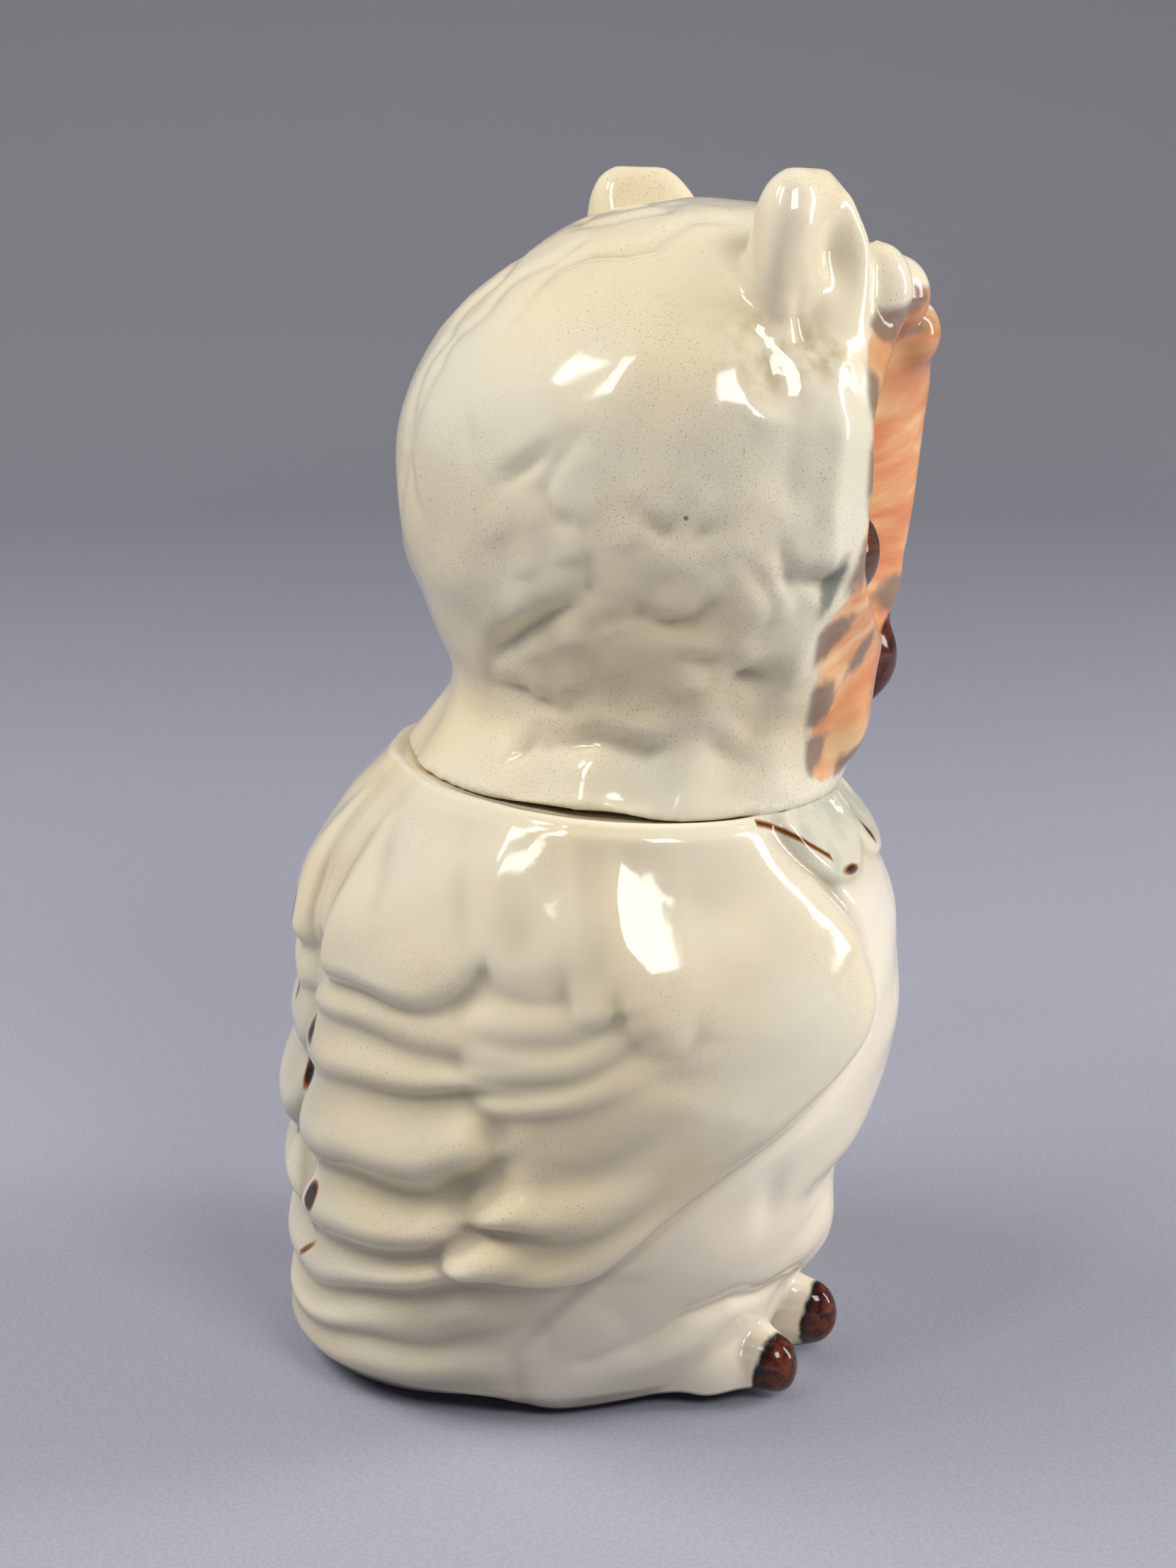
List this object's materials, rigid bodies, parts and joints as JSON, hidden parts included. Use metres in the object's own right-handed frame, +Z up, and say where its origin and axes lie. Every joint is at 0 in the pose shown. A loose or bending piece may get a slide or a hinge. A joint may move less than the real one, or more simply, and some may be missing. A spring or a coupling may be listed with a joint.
{
  "type": "cookie jar",
  "caption": "Glazed ceramic cookie jar shaped as a standing owl: hollow body with wings and feet, and a lift-off head as its lid.",
  "frame": {"origin": "on the surface that the jar stands on, under the middle of the jar's box", "axes": "+Z up, -Y the way that the owl looks, X across it"},
  "size_m": [0.1654, 0.1716, 0.2951],
  "materials": {
    "jar_glaze": "glossy cream glaze over ceramic",
    "lid_glaze": "glossy cream glaze over ceramic, face painted peach"
  },
  "bodies": {
    "root": {"jar": "jar_glaze", "lid": "lid_glaze"}
  },
  "joints": []
}
